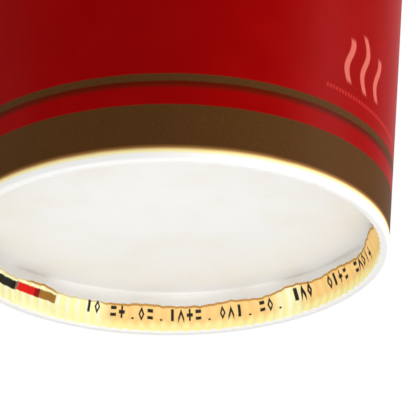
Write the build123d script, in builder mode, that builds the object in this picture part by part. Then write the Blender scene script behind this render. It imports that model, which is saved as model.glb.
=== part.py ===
import os
from math import cos, degrees, exp, radians, sin, tan

from build123d import *

# A single-wall paper cup, standing upright. The origin is at the centre of the foot and +Z is up.
# Sizes are in millimetres. Angles are in degrees, and an azimuth is measured from +X towards +Y.

# Board
board = 0.35  # thickness of the coated paper board
bend_bevel = board  # bevel that stands for the outside of a sharply pressed bend
seal_film = 0.05  # melted coating between two layers that are glued together

# Cup
foot_diameter = 62.0  # across the outside of the wall at the foot
cup_height = 124.0  # from the foot to the top of the rim bead
wall_slope = 4.6  # how far the wall leans out from upright

# Rim bead, rolled outwards from the top of the wall
curl_diameter = 3.0  # across the outside of the roll where it starts; it tightens as it goes
curl_gap = 0.18  # air between one turn of the roll and the next
curl_flats = 10  # the roll is drawn in flats, which leave the true round by about 0.05 mm
curl_step = 33.0  # angle of each flat

# Hem, folded inwards and up round the skirt of the base disc
hem_bend_height = 2.6  # where the hem starts to lean away from the skirt
hem_lean = 25.0  # how far the top of the hem leans in from upright
raw_edge_height = 4.15  # the cut edge of the hem above the foot, where it is lowest

# Uneven cut edge of the hem: the azimuth, rise and half width of each swelling
edge_swellings = (
    (7, 1.1, 8),
    (33, 0.6, 9),
    (51, 0.75, 7),
    (71, 0.35, 6),
    (98, 0.3, 6),
    (132, 0.45, 6),
    (149, 0.35, 6),
    (200, 0.3, 10),
    (250, 0.4, 9),
    (310, 0.3, 10),
)

# Knurl pressed into the hem
knurl_count = 110
knurl_depth = 0.15  # from the valleys to the ridges
knurl_root = 0.05  # how far the valleys stand out of the plain hem
knurl_top = 3.4  # top of the ridges above the foot

# Side seam, where one edge of the blank laps over the other
lap_azimuth = 133.5
lap_width = 7.0
lap_ramp = 5.0  # how far the outer layer takes to come back down to the wall
lap_foot = 0.45  # where the lap starts above the pressed fold

# Base disc
base_recess = 7.0  # underside of the disc above the foot
skirt_clearance = 0.05  # from the skirt's edge down to the inside of the fold

# Worked out from the sizes above
foot_radius = foot_diameter / 2
lean_out = tan(radians(wall_slope))
layer = board / cos(radians(wall_slope))  # a layer of board, measured level through the sloping wall
film = seal_film / cos(radians(wall_slope))
hem_radius = foot_radius - 3 * layer - 2 * film  # visible face of the hem, carried down to the foot
curl_radius = curl_diameter / 2 - board  # printed face at the start of the roll
hem_blank = raw_edge_height + 2 * max(rise for _, rise, _ in edge_swellings)
lap_angle = degrees(lap_width / hem_radius)  # angle that the lap covers on the hem
base_top = base_recess + board
trim_sectors = 8  # pieces of the wavy sheet that trims the hem
trim_points = 9  # points on the edge of each piece


def shifted_corners(corners, shift):
    """Corners of the line that runs a set distance to the left of the line through the given corners."""
    points = [Vector(*corner) for corner in corners]
    runs = [(end - start).normalized() for start, end in zip(points, points[1:])]
    lefts = [Vector(-run.Y, run.X) for run in runs]
    steps = [lefts[0] * shift]
    for before, after in zip(lefts, lefts[1:]):
        steps.append((before + after) * (shift / (1 + before.dot(after))))
    steps.append(lefts[-1] * shift)
    return [point + step for point, step in zip(points, steps)]


def sheet_outline(corners, near, far):
    """Section of a folded sheet: what lies between two distances to the left of the line."""
    return Polyline(*shifted_corners(corners, near), *reversed(shifted_corners(corners, far)), close=True)


def hem_face(height):
    """Radius of the hem's plain visible face at a height."""
    radius = hem_radius + min(height, hem_bend_height) * lean_out
    return radius - max(0, height - hem_bend_height) * tan(radians(hem_lean))


def roll_corners():
    """Printed face of the roll, as a tightening spiral that starts at the top of the wall."""
    corners = []
    for i in range(curl_flats + 1):
        radius = curl_radius - (board + curl_gap) * i * curl_step / 360
        angle = radians(180 - i * curl_step)
        corners.append((curl_radius + radius * cos(angle), radius * sin(angle)))
    return corners


wall_top = cup_height - max(corner.Y for corner in shifted_corners(roll_corners(), board))
bead_bottom = wall_top - curl_diameter / 2


def edge_height(azimuth):
    """Height of the hem's cut edge at an azimuth."""
    height = raw_edge_height
    for centre, rise, half_width in edge_swellings:
        away = (azimuth - centre + 180) % 360 - 180
        height += rise * exp(-((away / half_width) ** 2))
    return height


def edge_line(radius, azimuths):
    """A stretch of the hem's cut edge, carried in or out to a radius as a wavy line."""
    points = [
        (radius * cos(radians(azimuth)), radius * sin(radians(azimuth)), edge_height(azimuth))
        for azimuth in azimuths
    ]
    with BuildLine() as line:
        Spline(*points)
    return line.edge()


def knurl_seat(height):
    """Radius of the face that the knurl stands on: the hem, and the bevel of the fold below it."""
    return hem_face(height) + max(0, bend_bevel - height)


def knurl_corners(height):
    """The ridges and valleys of the knurl at a height, as the corners of a star."""
    corners = []
    for i in range(2 * knurl_count):
        azimuth = 180 * i / knurl_count
        from_lap = abs((azimuth - lap_azimuth + 180) % 360 - 180)
        radius = knurl_seat(height) - knurl_root
        if i % 2:
            radius -= knurl_depth
        if from_lap < lap_angle / 2:
            radius -= layer
        corners.append((radius * cos(radians(azimuth)), radius * sin(radians(azimuth))))
    return corners


# Wavy sheet, carried up from the hem's cut edge, that trims the hem and stays inside the wall
with BuildPart() as hem_trimmer:
    trim_inside = hem_radius - hem_blank
    trim_outside = foot_radius - layer + lean_out * raw_edge_height - film
    sector = 360 / trim_sectors
    for i in range(trim_sectors):
        azimuths = [sector * (i + j / (trim_points - 1)) for j in range(trim_points)]
        inner_edge = edge_line(trim_inside, azimuths)
        outer_edge = edge_line(trim_outside, azimuths)
        wavy_sheet = Face.make_surface_from_curves(inner_edge, outer_edge)
        extrude(wavy_sheet, amount=hem_blank, dir=(0, 0, 1))

# Outer layer of the side seam, folded in with the hem
with BuildPart() as hem_lap:
    with BuildSketch(Plane.XZ):
        with BuildLine():
            corners = (
                (hem_face(hem_blank + board), hem_blank + board),
                (hem_face(hem_bend_height), hem_bend_height),
                (hem_face(lap_foot), lap_foot),
            )
            sheet_outline(corners, board / 2, -board)
        make_face()
    revolve(axis=Axis.Z, revolution_arc=lap_angle)

# Ridges of the knurl, as a ring whose other side is buried in the hem
with BuildPart() as knurl:
    for height in (0, bend_bevel, hem_bend_height, knurl_top):
        with BuildSketch(Plane.XY.offset(height)):
            Circle(knurl_seat(height) + layer / 2)
            with BuildLine():
                Polyline(*knurl_corners(height), close=True)
            make_face(mode=Mode.SUBTRACT)
    loft(ruled=True)

# Frame on the outside of the wall: X runs round the cup, Y points outwards and Z runs up the wall
wall_frame = Plane(
    origin=(foot_radius, 0, 0),
    x_dir=(0, -1, 0),
    z_dir=(sin(radians(wall_slope)), 0, cos(radians(wall_slope))),
)


def ramp_line(height):
    """The outer layer's way back down to the wall beside the lap, in the wall's frame."""
    lap_end = lap_width / 2
    ramp_end = lap_end + lap_ramp
    return Line(
        (lap_end, height - lap_end**2 / foot_diameter),
        (ramp_end, height - board - ramp_end**2 / foot_diameter),
    )


# Outer layer of the side seam, on the outside of the wall
with BuildPart() as outer_lap:
    with BuildSketch(Plane.XZ):
        with BuildLine():
            Polyline(
                (foot_radius + lap_foot * lean_out - layer / 2, lap_foot),
                (foot_radius + lap_foot * lean_out + layer, lap_foot),
                (foot_radius + bead_bottom * lean_out + layer, bead_bottom),
                (foot_radius + bead_bottom * lean_out - layer / 2, bead_bottom),
                close=True,
            )
        make_face()
    revolve(axis=Axis.Z)
    with BuildSketch(wall_frame):
        with BuildLine():
            ramp = ramp_line(board)
            Polyline(
                ramp @ 1,
                (ramp @ 1) + (0, -curl_diameter),
                (-lap_width / 2, -curl_diameter),
                (-lap_width / 2, curl_diameter),
                (lap_width / 2, curl_diameter),
                ramp @ 0,
            )
        make_face()
    extrude(amount=cup_height, mode=Mode.INTERSECT)

# Step on the inside of the wall, where the inner layer of the side seam ends
with BuildPart() as inner_step:
    with BuildSketch(wall_frame.offset(base_top)):
        with BuildLine():
            ramp = ramp_line(0)
            Polyline(
                ramp @ 1,
                (ramp @ 1) + (0, -curl_diameter),
                (lap_width / 2, -curl_diameter),
                ramp @ 0,
            )
        make_face()
    extrude(amount=wall_top - base_top)

# Side wall: one blank with its rolled rim, its lapped side seam and its knurled hem
with BuildPart() as side_wall:
    with BuildSketch(Plane.XZ):
        with BuildLine():
            top_radius = foot_radius + wall_top * lean_out
            corners = [
                (hem_face(hem_blank), hem_blank),
                (hem_face(hem_bend_height), hem_bend_height),
                (hem_face(bend_bevel), bend_bevel),
                (hem_radius + bend_bevel, 0),
                (foot_radius - bend_bevel, 0),
                (foot_radius + bend_bevel * lean_out, bend_bevel),
            ]
            corners += [(top_radius + x, wall_top + z) for x, z in roll_corners()]
            sheet_outline(corners, 0, board)
        make_face()
    revolve(axis=Axis.Z)
    add(hem_lap.part.rotate(Axis.Z, lap_azimuth - lap_angle / 2))
    add(hem_trimmer.part, mode=Mode.SUBTRACT)
    add(outer_lap.part.rotate(Axis.Z, lap_azimuth))
    add(inner_step.part.rotate(Axis.Z, lap_azimuth), mode=Mode.SUBTRACT)
    add(knurl.part)

# Base disc: a round blank whose edge is turned down between the wall and the hem
with BuildPart() as base_disc:
    with BuildSketch(Plane.XZ):
        with BuildLine():
            skirt_radius = foot_radius - layer - film
            skirt_foot = board + bend_bevel / 2 + skirt_clearance
            skirt_top = base_top - bend_bevel
            corners = (
                (0, base_top),
                (skirt_radius + base_top * lean_out - bend_bevel, base_top),
                (skirt_radius + skirt_top * lean_out, skirt_top),
                (skirt_radius + skirt_foot * lean_out, skirt_foot),
            )
            sheet_outline(corners, 0, -board)
        make_face()
    revolve(axis=Axis.Z)

os.makedirs("parts", exist_ok=True)

side_wall.part.label = "side_wall"
export_step(side_wall.part, "parts/side_wall.step")

base_disc.part.label = "base_disc"
export_step(base_disc.part, "parts/base_disc.step")
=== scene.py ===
from functools import reduce
from math import cos, pi, radians, sin, tan
from operator import or_

import bpy
import numpy as np
from bpy.props import FloatProperty, FloatVectorProperty, IntProperty, PointerProperty
from mathutils import Matrix, Vector


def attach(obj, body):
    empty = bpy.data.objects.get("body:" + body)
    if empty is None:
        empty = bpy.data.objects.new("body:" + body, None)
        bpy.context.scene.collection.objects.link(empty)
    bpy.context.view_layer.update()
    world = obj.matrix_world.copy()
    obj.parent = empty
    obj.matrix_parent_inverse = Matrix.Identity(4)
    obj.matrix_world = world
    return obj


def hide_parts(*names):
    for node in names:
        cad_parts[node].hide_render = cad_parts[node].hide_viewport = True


bl_info = {
    "name": "Paper Cup",
    "version": (1, 0, 0),
    "blender": (4, 5, 0),
    "location": "3D View > Sidebar > Paper Cup",
    "description": "Dresses a paper cup: printed wall, rolled rim, knurled hem and recessed base",
    "category": "Object",
}

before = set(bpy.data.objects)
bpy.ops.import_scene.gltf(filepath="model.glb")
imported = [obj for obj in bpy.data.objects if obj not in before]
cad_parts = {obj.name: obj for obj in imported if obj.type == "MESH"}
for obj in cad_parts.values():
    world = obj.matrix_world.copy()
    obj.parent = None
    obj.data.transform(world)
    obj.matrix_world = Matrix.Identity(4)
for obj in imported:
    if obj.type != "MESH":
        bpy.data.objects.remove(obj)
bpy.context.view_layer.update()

# Lengths and heights are in metres and azimuths in degrees from +X, unless a comment says otherwise.
MILLIMETRE = 0.001

# Uneven cut edge of the hem: azimuth, rise and half width in degrees of each swelling
EDGE_SWELLINGS = (
    (7, 0.0011, 8),
    (33, 0.0006, 9),
    (51, 0.00075, 7),
    (71, 0.00035, 6),
    (98, 0.0003, 6),
    (132, 0.00045, 6),
    (149, 0.00035, 6),
    (200, 0.0003, 10),
    (250, 0.0004, 9),
    (310, 0.0003, 10),
)
FRAY_WAVES = ((97, 1.0, 0), (61, 0.7, 1), (163, 0.6, 0))  # waves round the cup, share, phase in radians

# Rings of the wall's mesh: shares of the hem's height, levels in millimetres, and counts of steps
HEM_SHARES = (0, 0.02, 0.05, 0.1, 0.17, 0.25, 0.34, 0.44, 0.55, 0.67, 0.8, 0.9, 1)
HEM_BACK_SHARES = (0.12, 0.4, 0.7, 1)
OUTSIDE_LEVELS = (0.45, 0.6, 0.8, 1.2, 2, 4, 8, 13, 22, 35, 50, 66, 82, 98, 112, 120, 121, 122)
INSIDE_LEVELS = (120, 105, 85, 60, 35, 15, 8.2, 7.6, 7, 0.42)
FOLD_STEPS = 5
ROLL_STEPS = 15  # inside the roll; the outside has twice as many

# Where a form sets in: nothing of it at the first value and all of it at the second
KNURL_START = (0.0001, 0.0008)  # below the cut edge
LAP_START_HEM = (0.0002, 0.0006)  # above the foot, on the hem
LAP_START_WALL = (0.0004, 0.0008)  # above the foot, on the wall
INNER_STEP_START = 0.0006  # how far above the base disc the inner layer's step is in full

# Small allowances of the wall's mesh
LAP_SOFT = 0.0006  # half width of the lap's soft side on the hem
LAP_FADE = 0.0004  # the lap fades out over this height under the bead
BEND_ROUND = 0.00025  # size of the round in the hem's bend
MESH_INSET = 0.00001  # keeps the roll just inside the solid's box
WALL_CORNER = 0.00006  # how far the fold's inner corner stands clear of the wall
HEM_CORNER = 0.00008  # and of the hem
TOP_CLEAR = 0.0002  # the highest ring outside stays this far under the roll
FAR_BELOW = 0.01  # stands for any point away from the hem's face
SHARP_ANGLE = radians(38)  # faces that meet at more than this stay sharp
WALL_KINDS = ("print", "hem", "bare", "cut")  # kinds of face, in the order of the wall's materials

# Columns near the seam, in degrees. Up to the first angle of SEAM_KEEP they keep their distance from the
# seam as the wall widens, and past the second they keep their azimuth.
SEAM_GAP = 0.02  # from the seam's cut edge to the column on either side of it
SEAM_CLEAR = 0.1  # other columns stay this far away
SEAM_KEEP = (15, 45)

# Plain marks stamped on the hem: azimuth of the first, height, weight and shapes
MARK_ROWS = (
    (114.2, 0.00335, 1.0, "post diamond"),
    (106.6, 0.00305, 1.0, "rungs plus dot"),
    (98.2, 0.00295, 1.0, "diamond rungs dot"),
    (89.1, 0.00285, 1.0, "post chevron plus rungs dot"),
    (74.2, 0.00285, 1.0, "diamond chevron post dot"),
    (61.8, 0.00295, 1.0, "rungs diamond dot"),
    (50.0, 0.0034, 1.6, "post chevron diamond"),
    (36.6, 0.0033, 1.0, "diamond post plus rungs"),
    (23.0, 0.0032, 1.0, "rungs chevron diamond post plus"),
)
MARK_PITCH = 2.55  # degrees from one mark to the next

# Drawing of the marks: v goes up a mark in millimetres, and u across it in units of 0.6 mm
MARK_SPREAD = 0.88  # units across for each degree
MARK_STROKE = 0.18  # half width of a stroke
MARK_BLUR = 0.15  # soft edge of a stroke
MARK_TALL = (0.8, 1.0)  # half height: where it starts to fade, and where it has ended
MARK_WIDE = (0.7, 0.9)  # half width, in the same way
POST_WEIGHT = 1.6  # how much heavier a post is than other strokes
POST_BLUR = 0.16
RUNG_RISE = 0.5  # from a mark's middle to each of its two rungs
RUNG_WIDE = (0.65, 0.85)
CHEVRON_SLOPE = 1.7
CHEVRON_PEAK = 0.5  # top of the chevron
DIAMOND_SLOPE = 1.35
DIAMOND_TOP = 0.75
DIAMOND_WEIGHT = 1.2
DIAMOND_BLUR = 1.25
DOT_SHIFT = 0.6  # how far a dot stands to the side of its place
DOT_DROP = 0.0008  # how far it stands below the middle of its row
DOT_SIZE = (0.22, 0.45)

# Colour bar on the hem: azimuths from and to, and the name of its ink
BAR_PATCHES = (
    (125.3, 133.4, "bar_gold"),
    (131.6, 140.25, "bar_red"),
    (131.6, 133.4, "bar_overprint"),
    (140.25, 153.0, "ink"),
)
BAR_HEIGHTS = (0.0026, 0.0038)
BAR_BLUR = 0.0001
BAR_RAGGED = 0.0003  # how far the fibres break up its upper and lower edge
BAR_WAVE = 0.0001  # how far the knurl waves them

# Stretches of the hem: azimuths from and to, and how soft the ends are
# The hem's painted glow is paler in the pale stretches
PALE_STRETCHES = ((109, 168, 3.0), (48, 57, 4.0))
THIN_EDGE_STRETCHES = ((110, 125, 3.0), (137, 160, 2.0))

# Heights on the hem between which one colour of its painted glow gives way to the next, and how the line
# between them waves; the waves on each ridge are painted knurl light and shade
HEM_LOW_END = (0.0010, 0.0025)
HEM_LOW_WANDER = 0.0012
HEM_LOW_WAVE = 0.0006  # drop on each ridge of the knurl
HEM_BARE_END = (0.00005, 0.0003)
HEM_BARE_WAVE = 0.00022  # rise on each ridge

# Brown line along the hem's cut edge
CUT_LINE_WIDTH = 0.0003
CUT_LINE_THINNING = 0.00012  # in its thin stretches
CUT_LINE_WANDER = 0.0002
CUT_LINE_BLUR = 0.00008

# Where the print ends above the fold: the colour, the height up to which it is full, and where it ends. The
# two glow colours are painted glow of light through the thin board.
PRINT_ENDS = (("glow_low", 0.0014, 0.0023), ("glow_high", 0.00125, 0.00185), ("bare", 0.0008, 0.0014))
PRINT_START = (0.0011, 0.0016)
PRINT_WANDER = 0.00012  # how far printed edges wander up and down

# Plain motif on the wall: azimuth, foot and top of each rising wave
MOTIF_WAVES = ((-40.5, 0.0166, 0.0232), (-34.0, 0.0163, 0.0248), (-27.5, 0.0166, 0.0232))
WAVE_STROKE = (0.75, 1.15)  # half width in degrees: where it starts to fade, and where it has ended
WAVE_SWAY = 1.2  # degrees to each side
WAVE_START = 0.0165  # height at which the sway is nothing
WAVE_RATE = 780.0  # radians of sway for each metre of height
WAVE_END = 0.0004  # soft ends of a wave
WAVE_INK = 0.95  # strength of its ink

# Row of small dashes under the motif
DASH_STRETCH = (-49, -12)  # azimuths from and to
DASH_MIDDLE = -30  # azimuth at which the row stands at its height
DASH_HEIGHT = 0.0146
DASH_SLANT = 0.00001  # metres down for each degree
DASH_STROKE = (0.0002, 0.0004)  # half height of a dash, and where it has ended
DASH_RATE = 0.9  # dashes for each degree
DASH_PART = (0.2, 0.8)  # part of its pitch that a dash takes up
DASH_INK = 0.8  # strength of its ink

# Bare board: what its colour is multiplied by
WARM_TONE = (0.98, 0.965, 0.93)
FIBRE_TONE = (0.9, 0.87, 0.8)

# Soft lamps: name, setting with its watts, place, the point that it shines at, and size
LAMPS = (
    ("key_lamp", "key_watts", (0.25, 0.55, 0.75), (0, 0, 0.05), 0.5),
    ("side_lamp", "side_watts", (0.7, -0.12, 0.12), (0, 0, 0.03), 0.35),
    ("fill_lamp", "fill_watts", (-0.7, -0.1, 0.15), (0, 0, 0.03), 0.35),
    ("front_lamp", "front_watts", (0, -0.7, -0.17), (0, 0, 0.02), 0.3),
    ("recess_lamp", "recess_watts", (0, -0.028, -0.075), (0, 0.012, 0), 0.03),
)
FLOOR_SIDES = 96

# Camera, fitted to the photograph's bands, hem and outline
CAMERA_PLACE = (0, -0.34097, -0.14874)
CAMERA_RIGHT = (0.999890, -0.014319, -0.003777)
CAMERA_UP = (-0.002522, -0.415958, 0.909381)
CAMERA_BACK = (-0.014593, -0.909271, -0.415948)


def length(name, description, default):
    """A size property, in metres."""
    return FloatProperty(name=name, description=description, default=default, unit="LENGTH", precision=5)


def degrees(name, description, default):
    """An angle property, given in degrees."""
    return FloatProperty(name=name, description=description, default=radians(default), subtype="ANGLE")


def fraction(name, description, default):
    """A property from 0 to 1."""
    return FloatProperty(name=name, description=description, default=default, min=0, max=1, precision=3)


def colour(name, description, default):
    """A colour property, in linear light."""
    return FloatVectorProperty(
        name=name, description=description, default=default, subtype="COLOR", size=3, min=0, max=1
    )


class CupSizes(bpy.types.PropertyGroup):
    """Sizes of the cup's board, rim, fold, hem and side seam."""

    board: length("Board", "Thickness of the coated board", 0.00035)
    foot_diameter: length("Foot diameter", "Across the outside of the wall at the foot", 0.062)
    cup_height: length("Cup height", "From the foot to the top of the rim bead", 0.124)
    wall_slope: degrees("Wall slope", "Lean of the wall", 4.6)
    curl_diameter: length("Curl diameter", "Across the outside of the rim's roll", 0.003)
    curl_gap: length("Curl gap", "Air between one turn of the roll and the next", 0.00018)
    curl_rise: length("Curl rise", "From the top of the wall to the top of the bead", 0.0014)
    curl_turn: degrees("Curl turn", "How far the rim is rolled", 330)
    seal_film: length("Seal film", "Coating between two glued layers", 0.00005)
    fold_round: length("Fold round", "Outside radius of the pressed fold", 0.00042)
    hem_bend_height: length("Hem bend", "Where the hem starts to lean inwards", 0.0026)
    hem_lean: degrees("Hem lean", "Inward lean of the hem's top", 25)
    raw_edge_height: length("Cut edge height", "Lowest height of the hem's cut edge", 0.00415)
    edge_fray: length("Fray", "Fine unevenness of the hem's cut edge", 0.00004)
    knurl_count: IntProperty(name="Knurls", description="Ridges round the hem", default=110, min=20)
    knurl_depth: length("Knurl depth", "From the valleys to the ridges", 0.00015)
    knurl_root: length("Knurl root", "How far the valleys stand proud", 0.00005)
    knurl_columns: IntProperty(name="Columns", description="Columns of faces per ridge", default=8, min=4)
    base_top: length("Base top", "Height of the base disc's upper face", 0.00735)
    lap_azimuth: degrees("Seam azimuth", "Where the side seam is", 133.5)
    lap_width: length("Lap width", "Width of the side seam's lap", 0.007)
    lap_ramp: length("Lap ramp", "Way back down from the lap to the wall", 0.005)


class CupColours(bpy.types.PropertyGroup):
    """Inks, board colours, painted glow and painted knurl light and shade, with the heights of the printed
    bands.
    """

    red: colour("Red", "Ground of the print", (0.236, 0.0004, 0.0004))
    red_worn: colour("Red mottle", "Where the red is laid on thinly", (0.262, 0.0012, 0.0012))
    gold: colour("Gold", "Ink of the bands", (0.070, 0.0275, 0.0066))
    gold_light: colour("Light gold", "Where the fibres show in the gold", (0.092, 0.0395, 0.0115))
    shadow_line: colour("Shadow line", "Dark line under the narrow band", (0.086, 0.006, 0.0012))
    bare: colour("Bare board", "Unprinted coated board", (0.885, 0.88, 0.86))
    base_white: colour("Base board", "White board of the base disc", (0.925, 0.922, 0.91))
    # Painted glow of light through the thin board where the print ends above the fold
    glow_low: colour("Warm edge", "Amber where the print ends", (0.42, 0.20, 0.06))
    glow_high: colour("Pale edge", "Pale yellow beside the bare fold", (0.93, 0.80, 0.36))
    # The hem's colours are painted glow of light shining through its thin board from behind; the valley
    # colours are painted knurl shade and highlight
    hem_low_glow: colour("Hem, lower part", "Pale yellow", (0.93, 0.85, 0.35))
    hem_low_valley_highlight: colour("Hem, lower valleys", "Palest yellow", (0.97, 0.95, 0.70))
    hem_middle_glow: colour("Hem, middle", "Peach", (0.93, 0.63, 0.245))
    hem_valley_shade: colour("Hem, valleys", "Deeper peach", (0.90, 0.52, 0.17))
    hem_pale_glow: colour("Hem, pale stretches", "Paler yellow", (0.93, 0.92, 0.44))
    hem_pale_valley_highlight: colour("Hem, pale valleys", "Cream", (0.96, 0.95, 0.78))
    cut_edge: colour("Cut edge", "Brown of the cut board", (0.50, 0.25, 0.055))
    cut_edge_light: colour("Light cut edge", "Paler fibres of the cut board", (0.66, 0.47, 0.24))
    ink: colour("Black ink", "Marks on the hem", (0.012, 0.009, 0.006))
    bar_red: colour("Bar red", "Red patch", (0.72, 0.006, 0.004))
    bar_overprint: colour("Bar overprint", "Gold over red", (0.24, 0.003, 0.002))
    bar_gold: colour("Bar gold", "Gold patch", (0.33, 0.15, 0.02))
    motif: colour("Motif", "Pale pink of the plain motif", (0.53, 0.115, 0.085))
    dashes: colour("Dashes", "Light red of the row of dashes", (0.42, 0.02, 0.016))
    wide_band_foot: length("Wide band foot", "Lower edge of the wide gold band", 0.00168)
    wide_band_top: length("Wide band top", "Upper edge of the wide gold band", 0.00783)
    shadow_foot: length("Shadow line foot", "Where the shadow line has faded out", 0.0099)
    narrow_band_foot: length("Narrow band foot", "Lower edge of the narrow gold band", 0.01118)
    narrow_band_top: length("Narrow band top", "Upper edge of the narrow gold band", 0.01222)
    band_softness: length("Band softness", "Half width of a printed edge", 0.00013)


class CupFinish(bpy.types.PropertyGroup):
    """Roughness, strength of reflections and relief of the surfaces."""

    print_rough: fraction("Print roughness", "Roughness of the red print", 0.34)
    print_gloss: fraction("Print gloss", "Reflections of the print", 0.013)
    hem_rough: fraction("Hem roughness", "Roughness of the hem", 0.55)
    hem_gloss: fraction("Hem gloss", "Reflections of the hem", 0.2)
    board_rough: fraction("Board roughness", "Roughness of the bare board", 0.42)
    board_gloss: fraction("Board gloss", "Reflections of the bare board", 0.3)
    edge_rough: fraction("Cut edge roughness", "Roughness of the cut board", 0.8)
    edge_gloss: fraction("Cut edge gloss", "Reflections of the cut board", 0.1)
    fibre_depth: length("Fibre depth", "Relief of the board's fibres", 0.00003)


class StudioSettings(bpy.types.PropertyGroup):
    """Light, floor and camera of the plain studio."""

    ambient: FloatProperty(name="Ambient", description="Soft light from all round", default=0.62)
    key_watts: FloatProperty(name="Key lamp", description="Soft lamp above and behind", default=4.6)
    side_watts: FloatProperty(name="Side lamp", description="Soft lamp on the right", default=4.9)
    fill_watts: FloatProperty(name="Fill lamp", description="Soft lamp on the left", default=0.8)
    front_watts: FloatProperty(name="Front lamp", description="Soft low lamp beside the camera", default=1.2)
    recess_watts: FloatProperty(name="Recess lamp", description="Small lamp under the foot", default=0.026)
    floor_radius: length("Floor radius", "Where the floor has faded out", 1.1)
    floor_fade: length("Floor fade", "Where the floor starts to fade", 0.35)
    floor_colour: colour("Floor", "Pale floor", (0.86, 0.86, 0.86))
    floor_grain: colour("Floor grain", "Faint mottle of the floor", (0.84, 0.84, 0.835))
    focal_length: FloatProperty(name="Focal length", description="Lens in millimetres", default=227.53)


class Value:
    """A socket of a node tree that can be used in a sum."""

    def __init__(self, paint, socket):
        self.paint = paint
        self.socket = socket

    def math(self, operation, first, second=0.0):
        """A Math node between two values."""
        return self.paint.node("Math", {"operation": operation}, {0: first, 1: second})

    def __add__(self, other):
        return self.math("ADD", self, other)

    __radd__ = __add__

    def __sub__(self, other):
        return self.math("SUBTRACT", self, other)

    def __rsub__(self, other):
        return self.math("SUBTRACT", other, self)

    def __mul__(self, other):
        return self.math("MULTIPLY", self, other)

    def __abs__(self):
        return self.math("ABSOLUTE", self)

    def __or__(self, other):
        """The stronger of two masks."""
        return self.math("MAXIMUM", self, other)

    def rises(self, low, high, start=0.0, end=1.0):
        """A mask that goes smoothly from its start at the low value to its end at the high one."""
        return self.paint.node(
            "MapRange",
            {"interpolation_type": "SMOOTHSTEP"},
            {"Value": self, "From Min": low, "From Max": high, "To Min": start, "To Max": end},
        )

    def falls(self, low, high):
        """A mask that goes smoothly from 1 at the low value to 0 at the high one."""
        return self.rises(low, high, start=1.0, end=0.0)

    def between(self, low, high, soft):
        """A mask for the values from low to high, with soft ends."""
        middle = (low + high) / 2
        half = (high - low) / 2
        return abs(self - middle).falls(half - soft, half + soft)

    def within(self, stretches):
        """A mask for the values inside any of several stretches: from, to and softness of each."""
        return reduce(or_, [self.between(*stretch) for stretch in stretches])


class Paint:
    """The node tree of a material or of the world."""

    def __init__(self, tree):
        self.tree = tree
        tree.nodes.clear()

    def node(self, kind, settings, inputs, output=0):
        """Adds a node: its type, its settings, then a value or a link for each socket."""
        made = self.tree.nodes.new("ShaderNode" + kind)
        for name, setting in settings.items():
            setattr(made, name, setting)
        for name, value in inputs.items():
            socket = made.inputs[name]
            if isinstance(value, Value):
                self.tree.links.new(value.socket, socket)
            elif socket.type == "RGBA":
                socket.default_value = (*value, 1)
            else:
                socket.default_value = value
        return Value(self, made.outputs[output]) if made.outputs else None

    def lay(self, under, over, mask):
        """One colour laid over another where the mask is 1."""
        return self.node("Mix", {"data_type": "RGBA"}, {0: mask, 6: under, 7: over}, output=2)

    def ray(self, kind):
        """A mask of the light rays of one kind, such as Camera."""
        return self.node("LightPath", {}, {}, output=f"Is {kind} Ray")

    def place(self):
        """Where a point is on the object, in metres."""
        return self.node("TexCoord", {}, {}, output="Object")

    def split(self, place):
        """The X, Y and Z of a place."""
        parts = self.node("SeparateXYZ", {}, {0: place})
        return [Value(self, output) for output in parts.socket.node.outputs]

    def vector_length(self, vector):
        """Length of a vector."""
        return self.node("VectorMath", {"operation": "LENGTH"}, {0: vector}, output="Value")

    def azimuth(self, x, y):
        """Angle round the cup, in degrees from +X."""
        return self.node("Math", {"operation": "ARCTAN2"}, {0: y, 1: x}) * (180 / pi)

    def noise(self, place, size, detail, stretch=None):
        """Soft random spots of about a size in metres, from 0 to 1."""
        if stretch:
            place = self.node("VectorMath", {"operation": "MULTIPLY"}, {0: place, 1: stretch})
        return self.node("TexNoise", {}, {"Vector": place, "Scale": 1 / size, "Detail": detail})

    def relief(self, height, depth, strength):
        """A normal bumped by a height from 0 to 1, which stands for a depth in metres."""
        return self.node("Bump", {}, {"Height": height, "Strength": strength, "Distance": depth})

    def surface(self, base, rough, gloss, **others):
        """A plain surface; the others are values for more of its sockets."""
        return self.node(
            "BsdfPrincipled",
            {},
            {"Base Color": base, "Roughness": rough, "Specular IOR Level": gloss, **others},
        )

    def show(self, surface):
        """Makes a surface the material's own."""
        self.node("OutputMaterial", {}, {"Surface": surface})


def new_paint(name):
    """A new material and its node tree."""
    material = bpy.data.materials.new(name)
    material.use_nodes = True
    return material, Paint(material.node_tree)


def dash_mask(level, azimuth):
    """Row of small dashes, which slants down a little as it goes round."""
    line = level - DASH_HEIGHT + (azimuth - DASH_MIDDLE) * DASH_SLANT
    pitch = level.paint.node("Math", {"operation": "FRACT"}, {0: azimuth * DASH_RATE})
    dashes = abs(line).falls(*DASH_STROKE) * pitch.between(*DASH_PART, soft=0.12)
    return dashes * azimuth.between(*DASH_STRETCH, soft=0.4)


def wave_masks(z, azimuth):
    """The plain rising waves, one mask for each."""
    sway = z.paint.node("Math", {"operation": "SINE"}, {0: (z - WAVE_START) * WAVE_RATE})
    across = azimuth + sway * WAVE_SWAY
    return [
        abs(across - centre).falls(*WAVE_STROKE) * z.between(low, high, WAVE_END)
        for centre, low, high in MOTIF_WAVES
    ]


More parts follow.
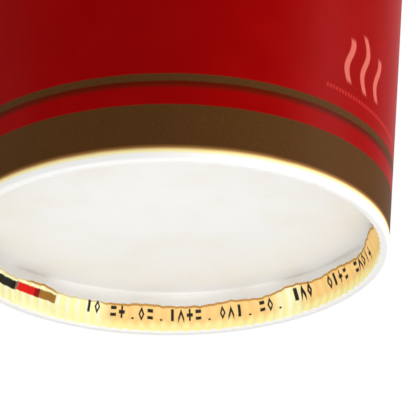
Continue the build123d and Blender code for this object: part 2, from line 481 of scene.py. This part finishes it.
def printed_material(colours, finish):
    """Red print with gold bands on smooth coated board, plain near the fold, with a painted warm glow where
    the print ends.
    """
    material, paint = new_paint("red_and_gold_print")
    place = paint.place()
    x, y, z = paint.split(place)
    azimuth = paint.azimuth(x, y)
    fibre = paint.noise(place, size=0.00022, detail=4.0)
    mottle = paint.noise(place, size=0.006, detail=3.0)
    wander = (paint.noise(place, size=0.004, detail=2.0) - 0.5) * PRINT_WANDER
    level = z + wander

    worn = mottle.rises(0.35, 0.75) * 0.6 + fibre * 0.2
    base = paint.lay(colours.red, colours.red_worn, worn)
    base = paint.lay(base, colours.dashes, dash_mask(level, azimuth) * DASH_INK)
    for wave in wave_masks(z, azimuth):
        base = paint.lay(base, colours.motif, wave * WAVE_INK)

    # Gold bands, and the shadow line that fades out under the narrow one
    soft = colours.band_softness
    wide = level.between(colours.wide_band_foot, colours.wide_band_top, soft)
    narrow = level.between(colours.narrow_band_foot, colours.narrow_band_top, soft)
    bands = wide | narrow
    shadow = level.rises(colours.shadow_foot, colours.narrow_band_foot - soft * 2)
    shadow = shadow * level.falls(colours.narrow_band_foot, colours.narrow_band_top)
    base = paint.lay(base, colours.shadow_line, shadow)
    gold = paint.lay(colours.gold, colours.gold_light, fibre.rises(0.45, 0.7) * 0.6)
    base = paint.lay(base, gold, bands)

    # Painted glow where the print ends above the fold, then the bare board
    for name, full, ended in PRINT_ENDS:
        base = paint.lay(base, getattr(colours, name), level.falls(full, ended))
    bare = 1 - level.rises(*PRINT_START)
    rough = finish.print_rough + fibre * 0.10 + bands * 0.08 + bare * 0.2
    normal = paint.relief(fibre * 0.7 + mottle * 0.3, finish.fibre_depth, strength=0.35)
    paint.show(paint.surface(base, rough, finish.print_gloss, Normal=normal))
    return material


def mark_mask(azimuth, z, centre, height, weight, shape):
    """Mask of one stamped mark, about 1 mm wide and 2 mm tall."""
    stroke = MARK_STROKE * weight
    edge = stroke + MARK_BLUR
    u = (azimuth - centre) * MARK_SPREAD
    if shape == "dot":
        v = (z - height + DOT_DROP) * (2 / MILLIMETRE)
        spot = z.paint.node("CombineXYZ", {}, {0: u + DOT_SHIFT, 1: v})
        return z.paint.vector_length(spot).falls(*DOT_SIZE)
    u = abs(u)
    v = (z - height) * (1 / MILLIMETRE)
    if shape == "post":
        half = stroke * POST_WEIGHT
        return u.falls(half, half + POST_BLUR) * abs(v).falls(*MARK_TALL)
    if shape == "rungs":
        return abs(abs(v) - RUNG_RISE).falls(stroke, edge) * u.falls(*RUNG_WIDE)
    if shape == "plus":
        upright = u.falls(stroke, edge) * abs(v).falls(*MARK_TALL)
        return upright | abs(v).falls(stroke, edge) * u.falls(*MARK_WIDE)
    if shape == "chevron":
        line = abs(v + u * CHEVRON_SLOPE - CHEVRON_PEAK)
        return line.falls(stroke * CHEVRON_SLOPE, edge * CHEVRON_SLOPE) * u.falls(*MARK_WIDE)
    line = abs(u * DIAMOND_SLOPE + abs(v) - DIAMOND_TOP)
    return line.falls(stroke * DIAMOND_WEIGHT, edge * DIAMOND_BLUR)


def all_marks(azimuth, z):
    """Mask of every stamped mark on the hem."""
    marks = [
        mark_mask(azimuth, z, first - i * MARK_PITCH, height, weight, shape)
        for first, height, weight, shapes in MARK_ROWS
        for i, shape in enumerate(shapes.split())
    ]
    return reduce(or_, marks)


def hem_painted_glow(colours, azimuth, z, ridge, cloud):
    """Painted glow of light through the hem's thin board, in warm yellow and peach from its middle down to
    the bare foot, with painted knurl light and shade.
    """
    paint = z.paint
    pale = azimuth.within(PALE_STRETCHES)
    # Painted knurl light and shade: valleys darker in the middle, lighter in the pale stretches and in the
    # lower part
    valley_light_and_shade = (1 - ridge).rises(0.3, 0.85)
    middle = paint.lay(colours.hem_middle_glow, colours.hem_pale_glow, pale * 0.95)
    valley = paint.lay(colours.hem_valley_shade, colours.hem_pale_valley_highlight, pale)
    middle = paint.lay(middle, valley, valley_light_and_shade * (0.35 + pale * 0.4))
    low = paint.lay(colours.hem_low_glow, colours.hem_pale_glow, pale)
    low = paint.lay(low, colours.hem_low_valley_highlight, valley_light_and_shade * (0.15 + pale * 0.35))
    # The lines between the painted glow's colours wave with each ridge, as painted knurl light and shade
    low_line = z + (cloud - 0.5) * HEM_LOW_WANDER + ridge * HEM_LOW_WAVE
    base = paint.lay(middle, low, low_line.falls(*HEM_LOW_END))
    return paint.lay(base, colours.bare, (z - ridge * HEM_BARE_WAVE).falls(*HEM_BARE_END))


def cut_line_mask(azimuth, below, cloud):
    """Brown line along the hem's cut edge, thinner and fainter in some stretches."""
    thin = azimuth.within(THIN_EDGE_STRETCHES)
    width = CUT_LINE_WIDTH - thin * CUT_LINE_THINNING + (cloud - 0.5) * CUT_LINE_WANDER
    return (below - width).falls(-CUT_LINE_BLUR, CUT_LINE_BLUR) * (1 - thin * 0.55)


def hem_material(sizes, colours, finish):
    """Thin board of the folded hem, with a painted warm glow of light through it, painted knurl shading,
    stamped marks and colour bar.
    """
    material, paint = new_paint("folded_hem")
    place = paint.place()
    x, y, z = paint.split(place)
    azimuth = paint.azimuth(x, y)
    below = paint.node("Attribute", {"attribute_name": "below_edge"}, {}, output="Fac")
    fibre = paint.noise(place, size=0.00018, detail=4.0)
    cloud = paint.noise(place, size=0.0035, detail=2.0)
    phase = azimuth * (sizes.knurl_count * pi / 180)
    ridge = 0.5 - paint.node("Math", {"operation": "COSINE"}, {0: phase}) * 0.5

    base = hem_painted_glow(colours, azimuth, z, ridge, cloud)
    base = paint.lay(base, colours.hem_middle_glow, fibre.rises(0.5, 0.8) * 0.25)
    base = paint.lay(base, colours.cut_edge, cut_line_mask(azimuth, below, cloud))
    ragged = z + (fibre - 0.5) * BAR_RAGGED + ridge * BAR_WAVE
    for start, end, name in BAR_PATCHES:
        patch = azimuth.between(start, end, soft=0.25) * ragged.between(*BAR_HEIGHTS, BAR_BLUR)
        base = paint.lay(base, getattr(colours, name), patch)
    worn = 1 - fibre.rises(0.6, 0.8) * 0.35
    base = paint.lay(base, colours.ink, all_marks(azimuth, z) * worn)

    normal = paint.relief(fibre, finish.fibre_depth, strength=0.5)
    rough = finish.hem_rough + fibre * 0.15
    paint.show(paint.surface(base, rough, finish.hem_gloss, Normal=normal))
    return material


def bare_material(name, board, finish):
    """Unprinted coated board, with faint fibres and a satin face."""
    material, paint = new_paint(name)
    place = paint.place()
    fibre = paint.noise(place, size=0.0004, detail=5.0, stretch=(1, 1, 0.35))
    cloud = paint.noise(place, size=0.008, detail=2.0)
    warm_board = [part * tone for part, tone in zip(board, WARM_TONE)]
    fibre_board = [part * tone for part, tone in zip(board, FIBRE_TONE)]
    base = paint.lay(board, warm_board, cloud.rises(0.4, 0.75))
    base = paint.lay(base, fibre_board, fibre.rises(0.58, 0.75) * 0.25)
    normal = paint.relief(fibre, finish.fibre_depth, strength=0.4)
    rough = finish.board_rough + fibre * 0.15
    paint.show(paint.surface(base, rough, finish.board_gloss, Normal=normal))
    return material


def cut_edge_material(colours, finish):
    """The board's cut edge: brown fibres in layers."""
    material, paint = new_paint("cut_board_edge")
    fibre = paint.noise(paint.place(), size=0.00012, detail=4.0)
    base = paint.lay(colours.cut_edge, colours.cut_edge_light, fibre.rises(0.4, 0.7))
    normal = paint.relief(fibre, finish.fibre_depth * 2, strength=0.6)
    rough = finish.edge_rough - fibre * 0.1
    paint.show(paint.surface(base, rough, finish.edge_gloss, Normal=normal))
    return material


def floor_material(studio):
    """Pale floor that is seen from above only and fades out away from the cup."""
    material, paint = new_paint("pale_floor")
    place = paint.place()
    away = paint.vector_length(place)
    base = paint.lay(studio.floor_colour, studio.floor_grain, paint.noise(place, size=0.02, detail=3.0))
    matt = paint.surface(base, rough=0.9, gloss=0.1)
    clear = paint.node("BsdfTransparent", {}, {})
    backfacing = paint.node("NewGeometry", {}, {}, output="Backfacing")
    shown = paint.ray("Camera") * (1 - backfacing) * away.falls(studio.floor_fade, studio.floor_radius)
    paint.show(paint.node("MixShader", {}, {0: shown, 1: clear, 2: matt}))
    return material


def smooth(values, low, high):
    """0 at the low value and 1 at the high one, smoothly between them."""
    t = np.clip((values - low) / (high - low), 0, 1)
    return t * t * (3 - 2 * t)


def cut_edge_height(sizes, azimuths):
    """Height of the hem's cut edge at azimuths in degrees."""
    height = np.full_like(azimuths, sizes.raw_edge_height)
    for centre, rise, half_width in EDGE_SWELLINGS:
        away = (azimuths - centre + 180) % 360 - 180
        height += rise * np.exp(-((away / half_width) ** 2))
    for waves, part, phase in FRAY_WAVES:
        height += sizes.edge_fray * part * np.sin(waves * np.radians(azimuths) + phase)
    return height


def seam_edge(sizes):
    """Azimuth in degrees of the seam's cut edge, on the outside of the wall."""
    return np.degrees(sizes.lap_azimuth + sizes.lap_width / sizes.foot_diameter)


def wall_columns(sizes):
    """Azimuths of the wall's columns in degrees, with a close pair at the seam's cut edge."""
    count = sizes.knurl_count * sizes.knurl_columns
    seam = seam_edge(sizes)
    columns = [column for column in np.arange(count) * 360 / count if abs(column - seam) > SEAM_CLEAR]
    return np.array(sorted(columns + [seam - SEAM_GAP, seam + SEAM_GAP]))


class WallSheet:
    """The wall's sheet of board, as rings of points that go round its section from the hem's cut edge."""

    def __init__(self, sizes):
        slope = sizes.wall_slope
        film = sizes.seal_film / cos(slope)
        self.sizes = sizes
        self.lean_out = tan(slope)
        self.layer = sizes.board / cos(slope)  # a layer of board, measured level through the sloping wall
        self.foot = sizes.foot_diameter / 2
        self.hem_foot = self.foot - 3 * self.layer - 2 * film  # hem's visible face, carried down to the foot
        self.wall_top = sizes.cup_height - sizes.curl_rise
        self.bead_bottom = self.wall_top - sizes.curl_diameter / 2
        self.columns = wall_columns(sizes)

        # From the seam's middle to each column: in degrees, and in metres round the foot, the other way
        self.turn = (self.columns - np.degrees(sizes.lap_azimuth) + 180) % 360 - 180
        along = -np.radians(self.turn) * self.foot

        # Share of a layer that the seam takes off inside the wall, adds outside it and adds on the hem
        half = sizes.lap_width / 2
        past_lap = (along - half) / sizes.lap_ramp
        self.inner_step = np.where((along > half) & (past_lap < 1), 1 - past_lap, 0.0)
        self.outer_lap = np.where(abs(along) <= half, 1.0, self.inner_step)
        self.hem_lap = np.where(along > -half, 1 - smooth(along, half - LAP_SOFT, half + LAP_SOFT), 0.0)

        ridge = 0.5 - 0.5 * np.cos(np.radians(self.columns) * sizes.knurl_count)
        self.knurl = sizes.knurl_root + sizes.knurl_depth * ridge
        self.edge = cut_edge_height(sizes, self.columns)

        self.rings = []
        self.add_hem()
        self.add_fold()
        self.add_outside()
        self.add_rim()
        self.add_inside()

    def add_ring(self, radius, height, kind, below=FAR_BELOW):
        """One ring of points; radius, height and depth below the edge are single or one per column."""
        shape = self.columns.shape
        radius, height, below = [np.broadcast_to(value, shape) for value in (radius, height, below)]
        squeeze = (self.foot / radius - 1) * (1 - smooth(abs(self.turn), *SEAM_KEEP))
        azimuth = np.radians(self.columns + self.turn * squeeze)
        points = np.stack([radius * np.cos(azimuth), radius * np.sin(azimuth), height], 1)
        self.rings.append((points, kind, below))

    def hem_face(self, height):
        """Radius of the hem's plain face at a height, with its bend rounded."""
        past = height - self.sizes.hem_bend_height
        rounded = (past + np.sqrt(past**2 + BEND_ROUND**2)) / 2
        return self.hem_foot + height * self.lean_out - rounded * (self.lean_out + tan(self.sizes.hem_lean))

    def lap_on_hem(self, height):
        """How far the seam's second layer stands out of the hem at a height."""
        return self.layer * self.hem_lap * smooth(height, *LAP_START_HEM)

    def add_hem(self):
        """Visible face of the hem, downwards."""
        for share in HEM_SHARES:
            height = self.edge * (1 - share) + self.sizes.fold_round * share
            below = self.edge - height
            relief = self.knurl * smooth(below, *KNURL_START) + self.lap_on_hem(height)
            self.add_ring(self.hem_face(height) - relief, height, "hem", below)

    def add_fold(self):
        """Pressed fold round the foot: first the hem's side, then the wall's."""
        fold = self.sizes.fold_round
        slope = self.sizes.wall_slope
        for step in range(1, FOLD_STEPS + 1):
            angle = pi + pi / 2 * step / FOLD_STEPS
            height = fold + fold * sin(angle)
            relief = -cos(angle) * self.knurl + self.lap_on_hem(height)
            self.add_ring(self.hem_foot + fold + fold * cos(angle) - relief, height, "hem")
        corner = self.foot + fold * self.lean_out - fold / cos(slope)
        for step in range(FOLD_STEPS + 1):
            angle = 3 * pi / 2 + (pi / 2 - slope) * step / FOLD_STEPS
            self.add_ring(corner + fold * cos(angle), fold + fold * sin(angle), "print")

    def add_outside(self):
        """Outside of the wall, upwards."""
        for level in OUTSIDE_LEVELS:
            height = min(level * MILLIMETRE, self.wall_top - TOP_CLEAR)
            under_bead = 1 - smooth(height, self.bead_bottom - LAP_FADE, self.bead_bottom)
            lapped = smooth(height, *LAP_START_WALL) * under_bead
            radius = self.foot + height * self.lean_out + self.layer * self.outer_lap * lapped
            self.add_ring(radius, height, "print")

    def add_rim(self):
        """Rolled rim: the printed face inside the roll, then the bare face outside it, on the way back."""
        sizes = self.sizes
        curl = sizes.curl_diameter / 2 - sizes.board - MESH_INSET
        middle = self.foot + self.wall_top * self.lean_out + curl

        def roll(share, start, kind):
            """One ring of the roll, which tightens from its start as it turns."""
            turned = sizes.curl_turn * share
            radius = start - (sizes.board + sizes.curl_gap) * turned / (2 * pi)
            self.add_ring(middle - radius * cos(turned), self.wall_top + radius * sin(turned), kind)

        for step in range(ROLL_STEPS + 1):
            roll(step / ROLL_STEPS, curl, "print")
        for step in range(2 * ROLL_STEPS, -1, -1):
            roll(step / (2 * ROLL_STEPS), curl + sizes.board, "bare")

    def add_inside(self):
        """Inside of the wall, downwards, then round the inside of the fold and up behind the hem."""
        base_top = self.sizes.base_top
        for level in INSIDE_LEVELS:
            height = level * MILLIMETRE
            stepped = smooth(height, base_top, base_top + INNER_STEP_START)
            radius = self.foot + height * self.lean_out - self.layer + self.layer * self.inner_step * stepped
            self.add_ring(radius, height, "bare")
        self.add_ring(self.foot - self.layer - WALL_CORNER, self.sizes.board, "bare")
        self.add_ring(self.hem_foot + self.layer + HEM_CORNER, self.sizes.board, "bare")
        for share in HEM_BACK_SHARES:
            height = self.edge * share
            self.add_ring(self.hem_face(height) + self.layer, height, "bare")


def wall_mesh(sizes):
    """The side wall as one closed sheet of board, with a material for each kind of face."""
    sheet = WallSheet(sizes)
    columns = sheet.columns
    rings = sheet.rings
    count = len(columns)
    seam = seam_edge(sizes)
    faces = []
    finishes = []
    for i, (_, kind, _) in enumerate(rings):
        j = (i + 1) % len(rings)
        next_kind = rings[j][1]
        here = kind if kind == next_kind or kind == "hem" and next_kind == "print" else "cut"
        for k in range(count):
            m = (k + 1) % count
            faces.append((i * count + k, i * count + m, j * count + m, j * count + k))
            step = here == "print" and abs((columns[k] + columns[m]) / 2 - seam) < SEAM_GAP / 2
            finishes.append(WALL_KINDS.index("cut" if step else here))
    mesh = bpy.data.meshes.new("side_wall_board")
    mesh.from_pydata(np.concatenate([points for points, _, _ in rings]).tolist(), [], faces)
    mesh.polygons.foreach_set("material_index", finishes)
    attribute = mesh.attributes.new("below_edge", "FLOAT", "POINT")
    below = np.concatenate([below for _, _, below in rings])
    attribute.data.foreach_set("value", below.astype(np.float32))
    mesh.validate()
    mesh.update()
    mesh.shade_smooth()
    mesh.set_sharp_from_angle(angle=SHARP_ANGLE)
    return mesh


class CUP_OT_side_wall(bpy.types.Operator):
    """Make the printed side wall with its rolled rim, lapped seam and knurled hem"""

    bl_idname = "paper_cup.side_wall"
    bl_label = "Side Wall"

    def execute(self, context):
        scene = context.scene
        mesh = wall_mesh(scene.cup_sizes)
        mesh.materials.append(printed_material(scene.cup_colours, scene.cup_finish))
        mesh.materials.append(hem_material(scene.cup_sizes, scene.cup_colours, scene.cup_finish))
        mesh.materials.append(bare_material("bare_coated_board", scene.cup_colours.bare, scene.cup_finish))
        mesh.materials.append(cut_edge_material(scene.cup_colours, scene.cup_finish))
        wall = bpy.data.objects.new("printed_side_wall", mesh)
        scene.collection.objects.link(wall)
        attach(wall, "root")
        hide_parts("side_wall")
        return {"FINISHED"}


class CUP_OT_base_disc(bpy.types.Operator):
    """Finish the recessed base disc in bare coated board"""

    bl_idname = "paper_cup.base_disc"
    bl_label = "Base Disc"

    def execute(self, context):
        scene = context.scene
        board = bare_material("bare_base_board", scene.cup_colours.base_white, scene.cup_finish)
        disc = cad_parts["base_disc"]
        disc.data.materials.clear()
        disc.data.materials.append(board)
        return {"FINISHED"}


def add_lamp(scene, name, watts, place, target, size):
    """A round soft lamp that shines at a point and isn't seen itself."""
    lamp = bpy.data.lights.new(name, "AREA")
    lamp.shape = "DISK"
    lamp.size = size
    lamp.energy = watts
    shown = bpy.data.objects.new(name, lamp)
    shown.location = place
    shown.rotation_euler = (Vector(target) - Vector(place)).to_track_quat("-Z", "Y").to_euler()
    shown.visible_camera = False
    scene.collection.objects.link(shown)


def add_floor(scene, studio):
    """A round floor at the cup's foot."""
    turns = [2 * pi * i / FLOOR_SIDES for i in range(FLOOR_SIDES)]
    rim = [(studio.floor_radius * cos(turn), studio.floor_radius * sin(turn), 0) for turn in turns]
    mesh = bpy.data.meshes.new("pale_floor")
    mesh.from_pydata(rim, [], [tuple(range(FLOOR_SIDES))])
    mesh.materials.append(floor_material(studio))
    floor = bpy.data.objects.new("pale_floor", mesh)
    scene.collection.objects.link(floor)


def add_surroundings(scene, studio):
    """Soft light from all round, which shows as plain white to the camera and in reflections."""
    world = bpy.data.worlds.new("white_surroundings")
    world.use_nodes = True
    scene.world = world
    paint = Paint(world.node_tree)
    white = paint.ray("Camera") | paint.ray("Glossy") | paint.ray("Transmission")
    sky = paint.node("Background", {}, {"Color": paint.lay([studio.ambient] * 3, (1, 1, 1), white)})
    paint.node("OutputWorld", {}, {"Surface": sky})


def add_camera(scene, studio):
    """The photograph's camera, below the foot and looking up at it."""
    lens = bpy.data.cameras.new("photo_view")
    lens.lens = studio.focal_length
    lens.sensor_width = 36
    lens.clip_start = 0.01
    lens.clip_end = 20
    camera = bpy.data.objects.new("photo_view", lens)
    turn = Matrix((CAMERA_RIGHT, CAMERA_UP, CAMERA_BACK)).transposed().to_4x4()
    camera.matrix_world = Matrix.Translation(CAMERA_PLACE) @ turn
    scene.collection.objects.link(camera)
    scene.camera = camera


class CUP_OT_stage(bpy.types.Operator):
    """Set up the pale floor, the soft lamps, the white surroundings and the camera"""

    bl_idname = "paper_cup.stage"
    bl_label = "Stage"

    def execute(self, context):
        scene = context.scene
        studio = scene.cup_studio
        add_floor(scene, studio)
        for name, watts, place, target, size in LAMPS:
            add_lamp(scene, name, getattr(studio, watts), place, target, size)
        add_surroundings(scene, studio)
        add_camera(scene, studio)
        scene.view_settings.view_transform = "Standard"
        return {"FINISHED"}


class CUP_PT_panel(bpy.types.Panel):
    """Lists the cup's pieces and their settings."""

    bl_idname = "CUP_PT_panel"
    bl_label = "Paper Cup"
    bl_space_type = "VIEW_3D"
    bl_region_type = "UI"
    bl_category = "Paper Cup"

    def draw(self, context):
        column = self.layout.column()
        for operator in OPERATORS:
            column.operator(operator.bl_idname)
        scene = context.scene
        for group in (scene.cup_sizes, scene.cup_colours, scene.cup_finish, scene.cup_studio):
            box = column.box()
            for name in type(group).__annotations__:
                box.prop(group, name)


OPERATORS = (CUP_OT_side_wall, CUP_OT_base_disc, CUP_OT_stage)
CLASSES = (CupSizes, CupColours, CupFinish, StudioSettings, *OPERATORS, CUP_PT_panel)


def register():
    """Add the cup's classes and its settings to Blender."""
    for one in CLASSES:
        bpy.utils.register_class(one)
    bpy.types.Scene.cup_sizes = PointerProperty(type=CupSizes)
    bpy.types.Scene.cup_colours = PointerProperty(type=CupColours)
    bpy.types.Scene.cup_finish = PointerProperty(type=CupFinish)
    bpy.types.Scene.cup_studio = PointerProperty(type=StudioSettings)


def unregister():
    """Take them out again."""
    del bpy.types.Scene.cup_studio
    del bpy.types.Scene.cup_finish
    del bpy.types.Scene.cup_colours
    del bpy.types.Scene.cup_sizes
    for one in reversed(CLASSES):
        bpy.utils.unregister_class(one)


def main():
    """Make every piece in order."""
    register()
    bpy.ops.paper_cup.side_wall()
    bpy.ops.paper_cup.base_disc()
    bpy.ops.paper_cup.stage()


if __name__ == "__main__":
    main()
